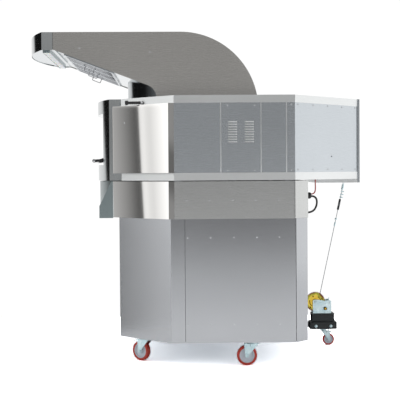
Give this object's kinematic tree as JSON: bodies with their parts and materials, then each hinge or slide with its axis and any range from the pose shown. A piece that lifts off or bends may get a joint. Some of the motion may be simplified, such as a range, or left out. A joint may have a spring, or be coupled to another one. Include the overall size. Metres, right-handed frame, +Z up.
{
  "type": "pizza oven",
  "caption": "Free-standing electric pizza oven on casters with a round turning deck, an octagonal steel casing, a bow-fronted extraction hood and a hand winch behind.",
  "frame": {"origin": "on the floor, under the middle of the whole machine's bounding box", "axes": "+Z up, the baking mouth and the hood face -Y, +X is to the right of someone who faces the mouth"},
  "size_m": [1.624, 2.136, 2.057],
  "materials": {
    "brushed_panels": "satin",
    "polished_panels": "polished",
    "dark_panel": "satin",
    "refractory": "matte",
    "deck_stone": "matte",
    "plain_steel": "matte",
    "machine_paint": "satin",
    "black_plastic": "matte",
    "oven_glass": "clear",
    "bar_steel": "polished",
    "lamp_cover": "gloss",
    "black_paint": "satin",
    "zinc_plate": "zinc plated",
    "yellow_zinc": "yellow zinc plated",
    "lead_black": "matte",
    "lead_red": "satin",
    "red_tread": "satin"
  },
  "bodies": {
    "machine": {"chassis": "brushed_panels", "base_front_panels": "brushed_panels", "base_side_panels": "brushed_panels", "base_rear_cover": "brushed_panels", "band_front": "dark_panel", "band_corner_panels": "polished_panels", "band_panels": "brushed_panels", "body_floor": "brushed_panels", "body_rims": "brushed_panels", "body_corner_panels": "polished_panels", "body_side_panels": "brushed_panels", "louvre_panels": "brushed_panels", "rear_cover": "brushed_panels", "body_top": "brushed_panels", "portal": "brushed_panels", "chamber_liner": "refractory", "heating_elements": "plain_steel", "deck_bearing": "plain_steel", "gearmotor": "machine_paint", "control_panel": "black_plastic", "hood_skin": "brushed_panels", "hood_sides": "brushed_panels", "hood_fascia": "brushed_panels", "hood_underside": "brushed_panels", "grease_filters": "brushed_panels", "hood_lamp": "lamp_cover", "winch_bracket": "black_paint", "winch_frame": "zinc_plate", "winch_rope": "bar_steel", "rope_fittings": "black_paint", "cable_gland": "black_plastic", "black_lead": "lead_black", "red_lead": "lead_red", "caster_plates": "zinc_plate"},
    "deck": {"deck_spider": "plain_steel", "deck_stone": "deck_stone"},
    "door": {"door": "brushed_panels", "door_glass": "oven_glass", "door_handle": "bar_steel"},
    "bail_left": {"filter_bail_left": "bar_steel"},
    "bail_mid": {"filter_bail_mid": "bar_steel"},
    "bail_right": {"filter_bail_right": "bar_steel"},
    "damper": {"damper_rod": "black_plastic"},
    "knob": {"power_knob": "black_plastic"},
    "drum": {"winch_drum": "yellow_zinc"},
    "pinion": {"winch_pinion": "yellow_zinc"},
    "pawl": {"winch_pawl": "zinc_plate"},
    "fork_fl": {"caster_fork_fl": "zinc_plate"},
    "wheel_fl": {"caster_wheel_fl": "red_tread"},
    "pedal_fl": {"brake_pedal_fl": "zinc_plate"},
    "fork_fr": {"caster_fork_fr": "zinc_plate"},
    "wheel_fr": {"caster_wheel_fr": "red_tread"},
    "pedal_fr": {"brake_pedal_fr": "zinc_plate"},
    "fork_rl": {"caster_fork_rl": "zinc_plate"},
    "wheel_rl": {"caster_wheel_rl": "red_tread"},
    "fork_rr": {"caster_fork_rr": "zinc_plate"},
    "wheel_rr": {"caster_wheel_rr": "red_tread"},
    "fork_winch": {"winch_caster_fork": "zinc_plate"},
    "wheel_winch": {"winch_caster_wheel": "red_tread"},
    "pedal_winch": {"winch_brake_pedal": "zinc_plate"}
  },
  "joints": [
    {"name": "deck_turn", "type": "hinge", "parent": "machine", "child": "deck", "pos_m": [0, 0.264, 1.2], "axis": [0, 0, 1], "continuous": true},
    {"name": "door_hinge", "type": "hinge", "parent": "machine", "child": "door", "pos_m": [0, -0.56815, 1.548], "axis": [-1, 0, 0], "range_deg": [0, 80]},
    {"name": "bail_left_swing", "type": "hinge", "parent": "machine", "child": "bail_left", "pos_m": [-0.352, -0.66223, 1.85526], "axis": [0, 0.9348, -0.3551], "range_deg": [-85, 85]},
    {"name": "bail_mid_swing", "type": "hinge", "parent": "machine", "child": "bail_mid", "pos_m": [0, -0.66223, 1.85526], "axis": [0, 0.9348, -0.3551], "range_deg": [-85, 85]},
    {"name": "bail_right_swing", "type": "hinge", "parent": "machine", "child": "bail_right", "pos_m": [0.352, -0.66223, 1.85526], "axis": [0, 0.9348, -0.3551], "range_deg": [-85, 85]},
    {"name": "damper_slide", "type": "slide", "parent": "machine", "child": "damper", "axis": [0, -1, 0], "range_m": [0, 0.06]},
    {"name": "knob_turn", "type": "hinge", "parent": "machine", "child": "knob", "pos_m": [-0.4014, -0.56889, 1.327], "axis": [-0.3575, -0.9339, 0], "range_deg": [-90, 0]},
    {"name": "drum_spin", "type": "hinge", "parent": "machine", "child": "drum", "pos_m": [0, 0.82, 0.3], "axis": [1, 0, 0], "continuous": true},
    {"name": "pinion_spin", "type": "hinge", "parent": "machine", "child": "pinion", "pos_m": [0, 0.88699, 0.25396], "axis": [1, 0, 0], "continuous": true},
    {"name": "pawl_pivot", "type": "hinge", "parent": "machine", "child": "pawl", "pos_m": [-0.0385, 0.915, 0.29], "axis": [-1, 0, 0], "range_deg": [0, 35]},
    {"name": "swivel_fl", "type": "hinge", "parent": "machine", "child": "fork_fl", "pos_m": [-0.539, -0.305, 0.145], "axis": [0, 0, 1], "continuous": true},
    {"name": "roll_fl", "type": "hinge", "parent": "fork_fl", "child": "wheel_fl", "pos_m": [-0.56855, -0.34282, 0.0625], "axis": [0.788, -0.6157, 0], "continuous": true},
    {"name": "brake_fl", "type": "hinge", "parent": "fork_fl", "child": "pedal_fl", "pos_m": [-0.57594, -0.35228, 0.131], "axis": [0.788, -0.6157, 0], "range_deg": [0, 15]},
    {"name": "swivel_fr", "type": "hinge", "parent": "machine", "child": "fork_fr", "pos_m": [0.539, -0.305, 0.145], "axis": [0, 0, 1], "continuous": true},
    {"name": "roll_fr", "type": "hinge", "parent": "fork_fr", "child": "wheel_fr", "pos_m": [0.50945, -0.34282, 0.0625], "axis": [0.788, -0.6157, 0], "continuous": true},
    {"name": "brake_fr", "type": "hinge", "parent": "fork_fr", "child": "pedal_fr", "pos_m": [0.50206, -0.35228, 0.131], "axis": [0.788, -0.6157, 0], "range_deg": [0, 15]},
    {"name": "swivel_rl", "type": "hinge", "parent": "machine", "child": "fork_rl", "pos_m": [-0.72, 0.355, 0.145], "axis": [0, 0, 1], "continuous": true},
    {"name": "roll_rl", "type": "hinge", "parent": "fork_rl", "child": "wheel_rl", "pos_m": [-0.72, 0.307, 0.0625], "axis": [1, 0, 0], "continuous": true},
    {"name": "swivel_rr", "type": "hinge", "parent": "machine", "child": "fork_rr", "pos_m": [0.72, 0.355, 0.145], "axis": [0, 0, 1], "continuous": true},
    {"name": "roll_rr", "type": "hinge", "parent": "fork_rr", "child": "wheel_rr", "pos_m": [0.72, 0.307, 0.0625], "axis": [1, 0, 0], "continuous": true},
    {"name": "swivel_winch", "type": "hinge", "parent": "machine", "child": "fork_winch", "pos_m": [0, 0.883, 0.105], "axis": [0, 0, 1], "continuous": true},
    {"name": "roll_winch", "type": "hinge", "parent": "fork_winch", "child": "wheel_winch", "pos_m": [0, 0.913, 0.04], "axis": [-1, 0, 0], "continuous": true},
    {"name": "brake_winch", "type": "hinge", "parent": "fork_winch", "child": "pedal_winch", "pos_m": [0, 0.925, 0.091], "axis": [-1, 0, 0], "range_deg": [0, 15]}
  ],
  "couplings": [
    {"joint": "pinion_spin", "follows": "drum_spin", "ratio": -4.3333}
  ]
}
